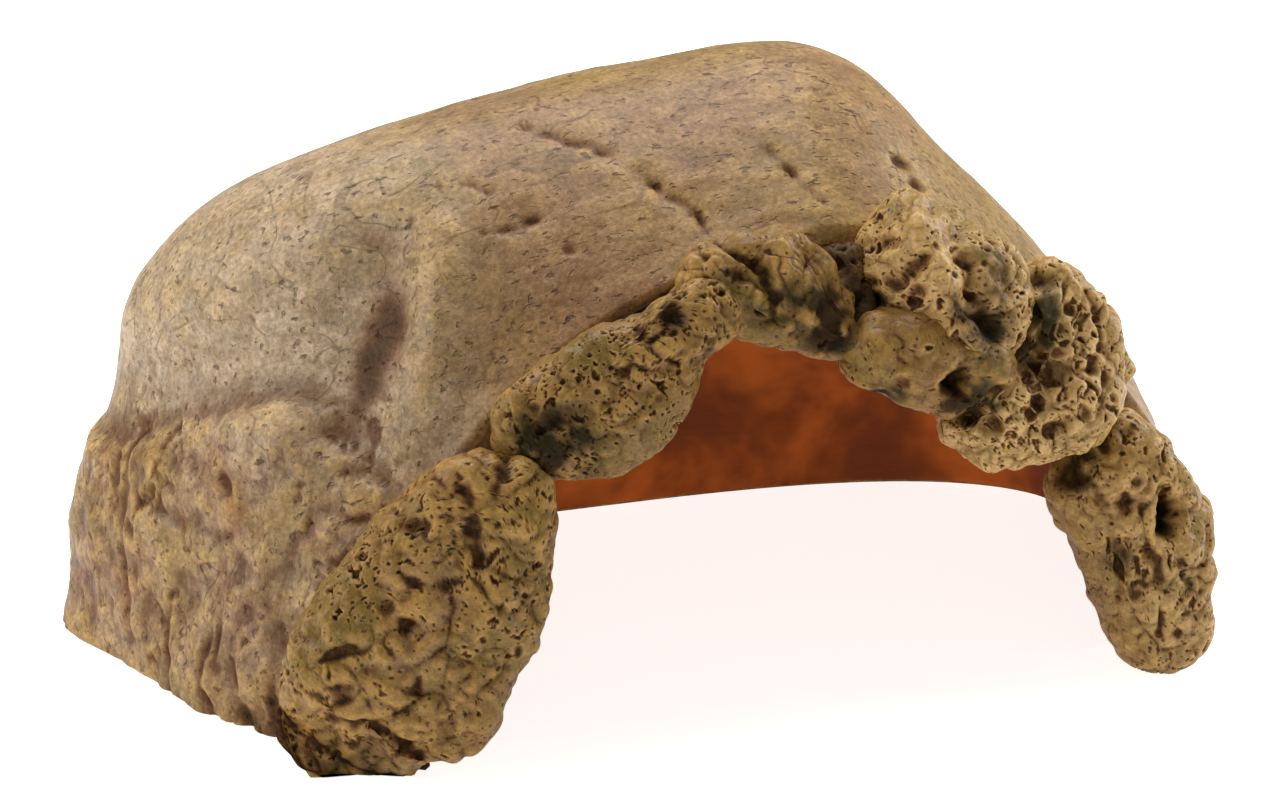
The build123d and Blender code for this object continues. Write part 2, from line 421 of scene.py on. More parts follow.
def dome_grid(rows, columns, inset, finer=0.0):
    """The dome on a grid of nearly even squares: steps and angles are spaced by the length
    that a fine grid measures along them. A finer grid is closer towards the mouth and on the
    left."""
    fine_step, fine_angle = np.linspace(0, 0.998, 900), np.linspace(0, pi, 721)
    place, squeeze = closing(fine_step)
    fine = dome_point(place[:, None], fine_angle[None, ::24], inset, squeeze[:, None])
    gone = np.linalg.norm(np.diff(fine, axis=0), axis=-1).mean(axis=1)
    gone = np.concatenate([[0], np.cumsum(gone * (1 + finer * ease(1.6 - 2 * fine_step[1:])))])
    steps = np.interp(np.linspace(0, gone[-1], rows), gone, fine_step)
    arch = dome_point(np.array([0.35]), fine_angle, inset)
    gone = np.linalg.norm(np.diff(arch, axis=0), axis=-1)
    gone = np.concatenate([[0], np.cumsum(
        gone * (1 + finer * ease(fine_angle[1:] / pi * 4 - 1)))])
    angles = np.interp(np.linspace(0, gone[-1], columns), gone, fine_angle)
    place, squeeze = closing(steps)
    return dome_point(place[:, None], angles[None, :], inset, squeeze[:, None])


@cache
def origin():
    """Where the mouth's frame stands in the row's frame, in metres: the CAD shell's lowest
    corner less the dome's own."""
    low = np.array(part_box("cave_shell")[0])
    grid = dome_grid(200, 200, 0).reshape(-1, 3)
    return np.array([*(low - grid.min(axis=0) * MM)[:2], low[2]])


def open_shell(fine, coarse):
    """Faces that close a fine outer and a coarse inner dome into one solid wall: each dome's
    squares and a fan to its pole, and a zipped strip round their open edges. The points are
    the fine dome's, its pole, the coarse dome's and its pole."""
    def edge(rows, columns, first, pole):
        front = first + np.arange(columns)
        right = first + np.arange(rows) * columns
        left = right + columns - 1
        loop = np.concatenate([[pole], right[::-1], front[1:-1], left, [pole]])
        place = np.concatenate([[0], np.linspace(0.001, 1, rows),
                                np.linspace(1, 2, columns)[1:-1],
                                np.linspace(2, 2.999, rows), [3]])
        return loop, place

    second = fine[0] * fine[1] + 1
    poles = fine[0] * fine[1], second + coarse[0] * coarse[1]
    last_a = (fine[0] - 1) * fine[1] + np.arange(fine[1])
    last_b = second + (coarse[0] - 1) * coarse[1] + np.arange(coarse[1])
    fan_a = np.stack([last_a[1:], last_a[:-1], np.full(fine[1] - 1, poles[0])], axis=1)
    fan_b = np.stack([last_b[:-1], last_b[1:], np.full(coarse[1] - 1, poles[1])], axis=1)
    rim = zip_loops(*edge(*fine, 0, poles[0]), *edge(*coarse, second, poles[1]))[:, ::-1]
    squares = np.concatenate([grid_faces(*fine)[:, ::-1], grid_faces(*coarse, second)])
    return squares, np.concatenate([fan_a, fan_b, rim])


# ---- the shell and the coat --------------------------------------------------------------

# All in millimetres in the mouth's frame: right, back and up. First lines on the shell; a
# crack is a line, its width, its depth and how dark it is.
CREASE = ((-86, 6, 56), (-90, 13, 62), (-93, 20, 68), (-100, 31, 71), (-115, 50, 63),
          (-124, 64, 54), (-132, 84, 50))
DENT = ((-79, 32, 101), (-82, 28, 94), (-87, 24, 84), (-92, 23, 74), (-92, 20, 68))
# The next line adds no depth: it only paints shade along the dent's steep right wall.
DENT_WALL_SHADE = ((-79, 26, 92), (-82, 23, 86), (-87, 20, 79), (-91, 19, 72))
DENT_RIDGE = ((-67, 27, 103), (-70, 21, 94), (-75, 14, 84), (-81, 10, 74), (-85, 5, 62))
FLANK_CRACK = ((-125, 74, 58), (-128, 69, 40), (-128, 66, 20), (-126, 63, 0))
CRACKS = (
    (((-56, 23, 105), (-50, 23, 107), (-46, 22, 109), (-43, 21, 110)), 1.1, 1.5, 1.0),
    (((-46, 46, 124), (-37, 38, 123), (-30, 33, 121), (-24, 26, 117)), 1.1, 1.7, 0.9),
    (((-24, 26, 117), (-20, 20, 115), (-17, 14, 111), (-14, 8, 107)), 1.2, 1.8, 1.0),
    (((0, 26, 122), (5, 20, 120), (9, 12, 115), (15, 4, 108)), 0.9, 1.1, 0.8),
    (((-62, 36, 116), (-55, 31, 113), (-50, 27, 111)), 0.9, 0.6, 0.5),
    (((-44, 16, 102), (-38, 13, 102), (-33, 10, 101)), 0.9, 0.7, 0.7),
    (((-30, 60, 129), (-10, 50, 128), (14, 44, 128), (34, 44, 126)), 0.8, 0.6, 0.45),
    (((-60, 70, 125), (-30, 76, 130), (0, 66, 131), (30, 70, 128)), 0.8, 0.5, 0.35),
    (((20, 32, 125), (25, 24, 120), (28, 18, 116)), 0.8, 0.6, 0.5),
    (((72, 40, 106), (84, 58, 92), (92, 70, 80), (106, 74, 60)), 1.2, 1.4, 0.8),
    (((88, 20, 84), (98, 26, 70), (102, 40, 62)), 1.1, 1.2, 0.7),
    (((60, 118, 112), (40, 128, 98), (34, 132, 80), (20, 134, 64)), 1.3, 1.5, 0.8),
    (((-20, 124, 112), (-40, 130, 96), (-62, 128, 84)), 1.2, 1.3, 0.7),
    (((-62, 128, 84), (-80, 122, 70), (-92, 118, 52)), 1.2, 1.2, 0.7),
    (((96, 104, 50), (84, 118, 40), (80, 121, 22)), 1.2, 1.3, 0.7),
    (((-92, 13, 46), (-93, 15, 38), (-93, 16, 31)), 1.7, 2.0, 0.9),
    (((-87, 6, 52), (-92, 12, 49), (-96, 20, 49), (-99, 26, 53)), 1.3, 1.2, 0.6),
    (((-103, 28, 36), (-105, 26, 26), (-101, 18, 14)), 1.6, 1.8, 0.9),
    (((-100, 20, 28), (-97, 14, 20), (-94, 10, 12)), 1.5, 1.7, 1.0),
    (((-108, 34, 30), (-110, 33, 20), (-108, 28, 9)), 1.5, 1.4, 0.7),
    (((-118, 50, 44), (-117, 48, 38), (-117, 47, 34)), 1.8, 1.4, 0.8),
    (((-113, 36, 22), (-112, 34, 10), (-111, 32, 2)), 1.6, 1.2, 0.6),
    (((-108, 26, 16), (-107, 24, 8), (-106, 22, 1)), 1.7, 1.5, 0.8),
    (((-120, 52, 22), (-119, 49, 10), (-118, 47, 1)), 1.5, 1.1, 0.5),
    (((-101, 17, 14), (-101, 15, 7), (-100, 13, 0)), 1.6, 1.5, 0.9),
)
# Swells and dimples are each a place, a radius and a height or a depth.
SWELLS = ((-112, 82, 98, 34, 2.6), (62, 95, 112, 30, 4.5), (-25, 105, 132, 34, 2.0),
          (-121, 48, 6, 28, 5.5), (-111, 20, 4, 24, 8.0), (100, 8, 50, 22, 3.0))
DIMPLES = ((-42, 14, 101, 1.6, 1.2), (-57, 13, 92, 1.6, 1.3), (-66, 8, 80, 1.1, 0.8),
           (39, 14, 110, 2.0, 1.4), (37, 19, 114, 2.2, 1.2), (-71, 33, 107, 1.6, 0.8),
           (-117, 44, 62, 2.2, 1.2), (-111, 38, 52, 2.0, 1.0))
# The crease's height, at distances back from the mouth.
CREASE_BACK, CREASE_UP = (0, 12, 24, 41, 64, 85, 120), (50, 57, 70, 68, 54, 49, 46)
CRUMBLY = ((-124, 66, 52), (-91, 14, 60), (-97, 16, 22))
DEEPEST = 5.8


def dent_inside(grid):
    """The points of an inner dome, pushed inwards where the wall follows the dent outside."""
    rows, columns, _ = grid.shape
    points = grid.reshape(-1, 3)
    out = vertex_normals(points, grid_faces(rows, columns)[:, ::-1])
    return points - out * (5.0 * groove(points, DENT, 13, 0.7))[:, None]


def shell_zones(p):
    """Three shares from 0 to 1: the rough lobes below the crease on the left flank, the rough
    foot all round the rest, with an uneven upper edge, and the valley above the crease."""
    x, y, z = p.T
    crease_up = np.interp(y, CREASE_BACK, CREASE_UP)
    left = ease((-x - 58) / 30) * ease((132 - y) / 45)
    lobe = left * ease((crease_up + 2.5 * noise(p, 9, 8) - z) / 4 + 0.5)
    elsewhere = ease((np.abs(x) - 62) / 26 + ease((y - 92) / 26)) * (1 - left)
    skirt = elsewhere * ease((40 + 17 * layers(p * (1, 1, 0.2), 42, 2, 70) - z) / 7)
    valley = left * ease((z - crease_up + 6) / 12) * ease((crease_up + 34 - z) / 26)
    return lobe, skirt, valley


def shell_relief(p):
    """How far each point of the shell is pushed inwards, in millimetres, and its stain, which
    holds dark marks and painted shade in the crease, the dent and at the top of the mouth's
    rim. The roof undulates, with swells and a few cracks. The left flank has a valley with one
    deep dent, a crease that runs down to the mouth, and rough pitted lobes below it. The foot
    is rough all round. Depths are eased to a limit by a hyperbolic tangent, and fade out
    towards the floor."""
    x, y, z = p.T
    lobe, skirt, valley = shell_zones(p)
    low = lobe * ease((34 - z) / 20)
    upright = p * (1, 1, 0.35)
    q = bent(bent(p, 9, 2.0, 3), 3.5, 0.9, 6)
    # the form
    depth = 1.2 * layers(p, 46, 2, 11) + 0.45 * layers(p, 13, 3, 12)
    for *spot, radius, rise in SWELLS:
        depth -= rise * np.exp(-away(p, spot, radius) ** 2)
    depth += 4.4 * valley - lobe * 1.8
    depth += lobe * (2.6 * layers(p, 20, 2, 13) + 1.3 * (0.5 - cobbles(p, 11, 14))
                     + 1.0 * layers(p, 5, 3, 15))
    depth += skirt * (1.8 * layers(p, 22, 2, 71) + 0.9 * (0.5 - cobbles(p, 12, 72))
                      + 0.6 * layers(p, 5, 3, 73) - 0.6)
    depth += low * 1.2 * (0.5 - cobbles(upright, 9, 16))
    # the dent, the crease and the cracks
    crease = groove(q, CREASE, 3.2, 0.7) * np.clip(0.45 + 0.9 * noise(p, 7, 9), 0, 1)
    wavy = bent(p, 12, 1.5, 3)
    dent = groove(wavy, DENT, 10.0, 0.7)
    crack = groove(q, FLANK_CRACK, 1.5, 0.7) * (0.6 + 0.6 * noise(p, 9, 10))
    depth += 2.0 * crease + 5.6 * dent + 1.7 * crack
    depth -= 3.8 * groove(p, DENT_RIDGE, 8.5, 0.7)
    # painted shade: the crease, the dent and the dent's right wall are stained dark where shade
    # falls on them, and the flank crack is darkened too
    stain_and_shade = (0.4 * crease + 0.12 * dent + 0.6 * crack
             + groove(wavy, DENT_WALL_SHADE, 4.6, 0.7) * (0.9 + 0.6 * layers(p, 6, 2, 18)))
    ragged = np.clip(0.8 + 0.7 * noise(p, 4, 17), 0.1, 1.3)
    for line, width, deep, dark in CRACKS:
        mark = groove(q, line, width) * ragged
        depth += deep * (mark + 0.35 * groove(q, line, 3 * width))
        stain_and_shade += 1.3 * dark * mark
    for *spot, radius, deep in DIMPLES:
        depth += deep * np.exp(-away(q, spot, radius) ** 3)
        stain_and_shade += 0.7 * np.exp(-away(q, spot, radius) ** 4)
    # the holes, closer together in the rough parts
    crumbly = sum(np.exp(-away(p, spot, 15) ** 2) for spot in CRUMBLY)
    rough = np.clip(lobe + crumbly + 0.75 * skirt, 0, 1)
    cluster = layers(p, 17, 2, 21) + 0.8 * crumbly
    holes = (0.9 * cavities(p, 6.5, 30, cluster, 0.0) * rough
             + 0.55 * cavities(p, 3.2, 31, cluster, 0.05) * rough
             + 0.7 * pits(p, 7.0, 0.8, 2.0, 32, 0.45) * rough
             + 0.45 * pits(p, 9.0, 0.7, 1.5, 33, 0.35) * (1 - lobe)
             + 0.35 * cavities(p * (0.6, 1, 1), 4, 34, cluster, -0.10) * (1 - lobe))
    depth += holes + 0.16 * layers(p * (0.5, 1, 1), 4, 3, 41)
    # darker along the floor, a dark wash in the holes and on the foot, and painted shade at the
    # top of the mouth's rim
    floor_edge = ease((7 + 5 * noise(p, 9, 45) - z) / 7)
    stain_and_shade += 0.5 * floor_edge * (0.5 + 0.5 * layers(p, 5, 2, 46)) + 0.55 * holes
    stain_and_shade += 0.25 * skirt * ease(0.4 + 1.5 * layers(upright, 9, 2, 48))
    # painted shade: darker at the top of the mouth's rim, where the stones meet the shell
    stain_and_shade += 0.4 * ease((9 - y) / 9) * ease((z - 62) / 12) * (0.4 + layers(p, 9, 2, 49))
    stain_and_shade += 0.35 * low * ease((42 - y) / 20) * (0.5 + 0.8 * layers(upright, 7, 2, 47))
    depth = np.where(depth > 0, DEEPEST * np.tanh(depth / DEEPEST), depth)
    return depth * ease(z / 2.5 + 0.2), np.clip(stain_and_shade, 0, 1)


def build_shell(material):
    """The shell as one closed wall: the outer dome with its relief and a rounded lip at the
    mouth, a quarter circle, and an inner dome where the coat begins."""
    shell = settings()[0]
    fine = shell.rows, shell.columns
    outer = dome_grid(*fine, 0, 0.8).reshape(-1, 3)
    squares = grid_faces(*fine)[:, ::-1]
    out = vertex_normals(outer, squares)
    lip = shell.lip / MM
    near = np.clip(1 - outer[:, 1] / lip, 0, 1)
    depth, stain_and_shade = shell_relief(outer)
    sunk = outer - out * (depth + lip * (1 - np.sqrt(1 - near ** 2)))[:, None]
    sunk[:, 1] = np.maximum(sunk[:, 1], 0)
    floor_edge = np.zeros(fine, bool)
    floor_edge[:, [0, -1]] = True
    sunk[floor_edge.ravel(), 2] = 0
    wash = np.stack([*hollow_and_crown(sunk, squares, 24, (4.5, 0.9), (4, 0.8)), stain_and_shade],
                    axis=1)
    inner = dent_inside(dome_grid(*PLAIN_GRID, shell.wall / MM))
    points = np.concatenate([sunk, [[shell.crest_x / MM, shell.depth / MM, 0]], inner,
                             [[shell.crest_x / MM, (shell.depth - shell.wall) / MM, 0]]])
    wash = np.concatenate([wash, np.zeros((len(inner) + 2, 3))])
    wash[len(outer)] = wash[len(outer) - 1]
    squares, triangles = open_shell(fine, PLAIN_GRID)
    return make_piece("rock_shell", points, (squares, triangles), wash, material,
                      "painted_shell", "cave_shell")


def build_coat(material):
    """The coat as one closed skin: its inner face is brushed on by hand and undulates, and
    its outer face follows the shell's inside."""
    shell = settings()[0]
    grid = dome_grid(*BRUSHED_GRID, (shell.wall + shell.coat) / MM)
    inside = grid.reshape(-1, 3)
    out = vertex_normals(inside, grid_faces(*BRUSHED_GRID)[:, ::-1])
    wave = 0.9 * layers(inside, 30, 2, 61) + 0.25 * layers(inside, 8, 2, 62)
    brushed = layers(inside * (0.35, 1, 1), 2.2, 2, 63)
    inside = inside - out * (0.9 + wave + 0.08 * brushed)[:, None]
    inside = dent_inside(inside.reshape(grid.shape))
    inside[:, 1] = np.maximum(inside[:, 1], 0)
    outer = dent_inside(dome_grid(*PLAIN_GRID, shell.wall / MM + 0.1))
    back = [[shell.crest_x / MM, (shell.depth - shell.wall - shell.coat) / MM, 0],
            [shell.crest_x / MM, (shell.depth - shell.wall) / MM, 0]]
    points = np.concatenate([inside, back[:1], outer, back[1:]])
    points[:, 2] = np.maximum(points[:, 2], shell.coat_gap / MM)
    wash = np.zeros((len(points), 3))
    # the waves go into the red channel, where the finish lays its painted glow
    wash[:len(inside), 0] = np.clip(0.5 + 0.5 * wave, 0, 1)
    squares, triangles = open_shell(BRUSHED_GRID, PLAIN_GRID)
    return make_piece("terracotta_coat", points, (squares[:, ::-1], triangles[:, ::-1]), wash,
                      material, "terracotta_coat", "inner_coat")


# ---- the stones ---------------------------------------------------------------------------

# Each stone, in millimetres and degrees. As in the frame: its middle, yaw to the left, lean
# back, bulk (thickness front to back, of the usual) and outline (across, up). How square its
# edge is; how strongly it is lumped; how much more than usual is worn into cavities; how pale
# it is; how dark at least; the grain that stretches its cavities; the seed of its noise.
# Grooves are a line, a width and a depth, and a ridge a line, a width and a height. Hollows are
# a place, a radius and a depth, and stains a place, a radius and a strength; stains are dark
# marks, and over the deepest holes a painted shade. Facets are a place, a direction to slope
# down in and a slope. Pit layers are a spacing, a least and a greatest radius, a depth and the
# share of the cubes that have a pit.
STONES = {
    "left_foot_stone": dict(
        middle=(-88, -8, 35), yaw=18, lean=10, bulk=1.0, square=3.2, lumps=1.0, worn=-0.03,
        pale=0.38, seed=100,
        outline=((22, 33), (30, 31), (33.5, 22), (33, 10), (29.5, -6), (24, -15), (19, -26),
                 (13, -31), (4, -34), (-2, -38), (-14, -38), (-24, -28), (-25, -12), (-21, -4),
                 (-13, 8), (-4, 20), (6, 29), (14, 33)),
        grooves=((((15, 20), (16, 13), (16, 8)), 2.3, 2.2),
                 (((16, 8), (9, 8), (2, 7), (-3, 8)), 1.8, 1.5),
                 (((-16, -8), (-13, -7), (-9, -6)), 1.2, 1.2),
                 (((-14, -22), (-4, -24), (2, -27), (6, -33)), 1.8, 2.2),
                 (((24, -11), (16, -9)), 1.2, 1.3),
                 (((12, 27), (17, 25), (22, 27)), 1.4, 0.8)),
        facets=((-6, -25, 236, 1.1),),
        hollows=((3, -1, 2.4, 2.0), (4, 19, 2.8, 1.8), (14, 27, 2.4, 1.4), (23, 31, 2.2, 1.5),
                 (-17, -2, 2.2, 1.6), (3, -14, 2.6, 1.3), (9, -23, 2.6, 1.6),
                 (-2, 3, 1.8, 1.4), (20, 2, 1.6, 1.0), (-12, -16, 2.4, 1.3)),
        stains_and_shade=((-12, -35, 11, 0.6), (-2, -34, 7, 0.5), (5, 12, 9, 0.2)),
        pit_layers=((6.5, 0.8, 1.9, 1.15, 0.5), (3.3, 0.45, 1.1, 0.85, 0.6),
                    (1.9, 0.3, 0.62, 0.5, 0.6))),
    "left_arch_stone": dict(
        middle=(-43, -7, 80), yaw=14, lean=16, bulk=0.85, square=2.7, lumps=1.0, worn=0.06,
        pale=0.32, seed=200,
        outline=((-20, -2), (-23, -8), (-22, -14), (-16, -19), (-8, -21), (3, -20),
                 (10, -17), (15, -11), (19, -4), (23, 3), (29, 8), (31, 14), (28, 19),
                 (21, 21), (14, 18), (9, 14), (0, 11), (-9, 6)),
        grooves=((((15, 12), (8, 4), (3, 1), (2, -4), (2, -8)), 1.4, 1.9),
                 (((-12, 3), (-5, 1)), 1.5, 1.3), (((14, -2), (8, -12)), 1.0, 0.9),
                 (((19, 6), (13, 2), (10, -3)), 1.6, 0.9), (((-6, -3), (-2, -9)), 1.4, 0.9)),
        hollows=((15, 13, 2.8, 1.7), (-10, -8, 4.5, 2.2), (9, 9, 2.0, 1.1),
                 (-15, -5, 2.0, 0.8)),
        stains_and_shade=((-11, -12, 9, 0.95), (15, 13, 5, 0.6), (-3, -17, 7, 0.5)),
        pit_layers=((4.8, 0.6, 1.3, 0.8, 0.45), (2.5, 0.38, 0.85, 0.75, 0.7),
                    (1.6, 0.28, 0.55, 0.5, 0.7))),
    "top_stone": dict(
        middle=(-8, -5, 97), yaw=5, lean=22, bulk=0.8, square=2.4, lumps=1.2, worn=-0.14,
        pale=0.42, seed=300,
        outline=((-14, 7), (-9, 11), (0, 11), (8, 12), (14, 8), (19, 0), (22, -9),
                 (21, -17), (10, -16), (-3, -13), (-12, -6), (-16, 1)),
        grooves=((((-7, 10), (-2, 5), (1, 1), (2, -5), (1, -10)), 1.7, 3.2),
                 (((-10, 3), (-6, 2), (-3, 0), (0, -3)), 1.2, 2.0),
                 (((0, 8), (4, 5), (8, 2)), 0.9, 1.2), (((8, 9), (13, 0), (17, -8)), 0.9, 1.4),
                 (((11, 7), (15, -1), (19, -8)), 0.7, 1.1),
                 (((6, 8), (11, -1), (13, -6)), 0.7, 0.9),
                 (((-8, -8), (4, -12), (16, -15)), 1.3, 1.0)),
        hollows=((-12, 6, 1.2, 1.6), (-14, 3, 1.0, 1.2), (14, -11, 4.5, 2.0),
                 (-13, 0, 1.2, 1.0)),
        stains_and_shade=((14, -10, 8, 1.0), (2, -6, 6, 0.75), (-9, -2, 5, 0.4)),
        pit_layers=((5.0, 0.5, 1.1, 0.6, 0.25), (2.6, 0.3, 0.7, 0.4, 0.3))),
    # the wedge is dark all over: green black paint, and a painted shade of the gap between the
    # top and ridge stones
    "wedge_stone": dict(
        middle=(12, -1, 94), yaw=5, lean=25, bulk=0.7, square=2.3, lumps=1.3, worn=0.05,
        dark=0.7, seed=400,
        outline=((-6, 5), (0, 9), (6, 7), (9, -2), (6, -12), (0, -14), (-6, -6)),
        grooves=((((-3, 6), (1, -2), (2, -9)), 1.2, 1.0),),
        hollows=((3, -6, 2.2, 1.6),),
        stains_and_shade=((2, -5, 14, 0.85),),
        pit_layers=((2.6, 0.4, 0.9, 0.7, 0.6), (1.6, 0.25, 0.5, 0.4, 0.6))),
    "ridge_stone": dict(
        middle=(34, -6, 98), yaw=8, lean=28, bulk=1.0, square=2.2, lumps=1.1, worn=0.02,
        pale=0.95, seed=500,
        outline=((-18, 3), (-16, 9), (-11, 14), (-4, 15), (4, 11), (12, 6), (18, 0),
                 (20, -9), (17, -18), (9, -23), (0, -21), (-9, -18), (-17, -12), (-20, -5)),
        grooves=((((-19, -14), (-11, -14), (-5, -18), (-1, -23)), 1.8, 2.2),
                 (((3, 6), (4, -2), (7, -12), (9, -20)), 2.6, 3.0),
                 (((10, 4), (13, -5), (14, -13)), 1.5, 1.2)),
        hollows=((-8, -3, 2.6, 1.9), (-12, -5, 2.2, 1.8), (-9, -10, 2.4, 2.2),
                 (-13, 3, 1.9, 1.5), (-14, 8, 1.7, 1.2), (-17, -5, 1.8, 1.6),
                 (-20, -10, 4.0, 4.5), (6, -15, 3.5, 2.0)),
        stains_and_shade=((-20, -11, 5, 1.0), (6, -14, 8, 0.9), (10, -4, 6, 0.6)),
        ridge=(((-10, 13), (-6, 4), (-3, -5), (-1, -14), (2, -22)), 6.5, 5.5),
        pit_layers=((4.4, 0.6, 1.5, 1.1, 0.6), (2.4, 0.35, 0.8, 0.6, 0.6),
                    (1.5, 0.25, 0.5, 0.35, 0.5))),
    "brow_stone": dict(
        middle=(27, -14, 77), yaw=5, lean=0, bulk=0.85, square=2.6, lumps=0.7, worn=-0.06,
        pale=0.38, grain=(0.5, 1, 1), seed=600,
        outline=((-18, 5), (-15, 11), (-8, 14), (0, 14), (9, 10), (18, 5), (22, -4),
                 (18, -11), (9, -12), (0, -9), (-9, -5), (-16, -1)),
        grooves=((((-14, 0), (-9, -2), (-4, -4)), 1.0, 0.8), (((-12, -3), (-7, -5)), 1.0, 0.7),
                 (((-8, 6), (2, 4), (10, 3)), 1.2, 0.6)),
        hollows=((5, -1, 3.2, 5.5), (2.5, -2, 2.0, 3.0), (14, -6, 2.6, 4.0),
                 (10, -9, 2.8, 3.0), (-7, 1, 1.6, 0.8)),
        stains_and_shade=((-11, -3, 4, 0.85), (8, -7, 7, 1.0), (5, -1, 4, 0.9), (12, 3, 5, 0.5)),
        pit_layers=((5.0, 0.5, 1.1, 0.6, 0.4), (2.3, 0.3, 0.65, 0.45, 0.5),
                    (1.5, 0.22, 0.42, 0.3, 0.5))),
    "rough_stone": dict(
        middle=(57, -10, 75), yaw=-5, lean=16, bulk=1.0, square=2.4, lumps=1.5, worn=0.04,
        pale=1.0, grain=(1, 0.75, 1), seed=700,
        outline=((-8, 17), (-3, 20), (3, 22), (11, 19), (17, 13), (20, 5), (22, -3),
                 (20, -11), (15, -19), (6, -23), (-6, -23), (-17, -20), (-24, -14),
                 (-23, -8), (-16, -2), (-11, 6)),
        grooves=((((-9, 13), (-5, 6), (-3, -1), (-6, -7)), 3.4, 4.2),
                 (((3, 15), (6, 6), (8, -2), (6, -8)), 1.3, 1.9),
                 (((9, 13), (11, 5), (12, -4), (9, -10)), 1.1, 1.3),
                 (((-4, 4), (2, 6), (5, 11)), 1.2, 1.2),
                 (((-14, 2), (-8, -1), (-2, -4)), 1.6, 1.7)),
        hollows=((-18, -13, 2.2, 2.2), (-2, -15, 2.4, 2.2), (-10, -11, 1.6, 1.2),
                 (-3, 17, 3.0, 2.0), (-22, -9, 3.2, 3.2), (3, -13, 1.6, 1.2),
                 (-7, 9, 2.6, 2.0), (2, 10, 2.0, 1.4), (1, 2, 2.0, 1.6)),
        stains_and_shade=((-6, 8, 9, 0.95), (-1, 0, 6, 0.6), (-21, -8, 6, 0.95), (-3, 16, 5, 0.5),
                (10, -14, 4, 0.3)),
        pit_layers=((4.6, 0.6, 1.6, 1.2, 0.55), (2.5, 0.35, 0.85, 0.65, 0.55),
                    (1.6, 0.25, 0.5, 0.4, 0.5))),
    "right_foot_stone": dict(
        middle=(83, -9, 31), yaw=6, lean=4, bulk=1.0, square=2.6, lumps=1.0, worn=0.0,
        pale=0.75, grain=(1, 0.5, 1), seed=800,
        outline=((-17, 20), (-12, 26), (-5, 29), (4, 25), (11, 16), (16, 9), (18, 0),
                 (18, -14), (17, -26), (11, -33), (2, -33), (-4, -27), (-9, -17),
                 (-13, -6), (-18, 3), (-20, 12)),
        grooves=((((-7, 14), (-8, 0), (-8, -12)), 1.9, 1.9),
                 (((-3, 9), (-2, 0), (2, -9), (2, -20)), 1.2, 1.6),
                 (((8, -5), (9, -15)), 1.5, 1.3), (((13, 8), (14, -4), (13, -12)), 1.2, 1.1),
                 (((-9, -14), (-4, -22), (0, -28)), 1.2, 1.0),
                 (((-14, 16), (-10, 6), (-11, 0)), 1.6, 0.8)),
        hollows=((4, 8, 3.4, 8.0), (4, 4.5, 3.1, 7.0), (3.5, 12, 1.8, 1.6), (-11, 23, 1.9, 1.4),
                 (-5, 25, 1.9, 1.2), (-5, 16, 1.8, 1.2), (-19, 18, 3.4, 1.6),
                 (6, -21, 1.7, 1.2), (-3, -10, 1.8, 1.2)),
        # the stain at (4, 6.5) paints shade into the deep hole
        stains_and_shade=((-18, 18, 6, 0.9), (-8, -2, 5, 0.65), (4, 6.5, 4.2, 1.0), (-10, 25, 5, 0.5),
                (9, -10, 4, 0.5)),
        pit_layers=((4.8, 0.6, 1.4, 0.9, 0.5), (2.5, 0.35, 0.85, 0.65, 0.6),
                    (1.6, 0.25, 0.5, 0.4, 0.55))),
    "gravel_fill": dict(
        middle=(47, -4, 88), yaw=0, lean=20, bulk=0.7, square=2.2, lumps=1.8, worn=0.04,
        dark=0.35, seed=900,
        outline=((-12, 4), (-4, 10), (6, 9), (12, 2), (10, -9), (0, -13), (-10, -8)),
        grooves=(), hollows=((0, 0, 4, 1.5),), stains_and_shade=((0, 0, 16, 0.8),),
        pit_layers=((2.4, 0.5, 1.0, 0.9, 0.9), (1.5, 0.3, 0.6, 0.6, 0.9))),
}


# Cavities of three sizes: size, depth, cover beyond the stone's own, and share in the wash.
CAVITIES = ((5.5, 1.0, -0.025, 0.85), (2.8, 0.7, 0.01, 0.9), (1.5, 0.4, 0.02, 0.75))


def outline_reach(outline, angles):
    """How far a closed smooth outline is from its middle in each direction: a Catmull-Rom
    cubic from each point to the next, read by its angle."""
    p = np.asarray(outline, float)
    before, after, later = np.roll(p, 1, 0), np.roll(p, -1, 0), np.roll(p, -2, 0)
    t = np.linspace(0, 1, 24, endpoint=False)[:, None, None]
    curve = 0.5 * (2 * p + (after - before) * t
                   + (2 * before - 5 * p + 4 * after - later) * t ** 2
                   + (3 * p - before - 3 * after + later) * t ** 3)
    curve = curve.transpose(1, 0, 2).reshape(-1, 2)
    turn = np.arctan2(curve[:, 1], curve[:, 0])
    order = np.argsort(turn)
    return np.interp(angles, turn[order], np.hypot(*curve[order].T), period=2 * pi)


def stone_axes(stone):
    """A stone's directions across, up and out towards the front."""
    turn, tip = radians(stone["yaw"]), radians(stone["lean"])
    out = np.array([-sin(turn) * cos(tip), -cos(turn) * cos(tip), sin(tip)])
    across = np.array([cos(turn), -sin(turn), 0.0])
    return across, np.cross(out, across), out


def pillow(stone, side):
    """A ball's directions stretched to a pillow, its squares and half its thickness: its
    outline's reach across and up, half its bulk to front and back, rounded by a
    superellipse."""
    way, squares = ball(side)
    flat = np.maximum(np.hypot(way[:, 0], way[:, 1]), 1e-9)
    power = stone["square"]
    size = (flat ** power + np.abs(way[:, 2]) ** power) ** (-1 / power)
    reach = outline_reach(stone["outline"], np.arctan2(way[:, 1], way[:, 0]))
    half = stone["bulk"] * settings()[1].bulk / MM / 2
    return way * size[:, None] * np.stack([reach, reach, 0 * reach + half], 1), squares, half


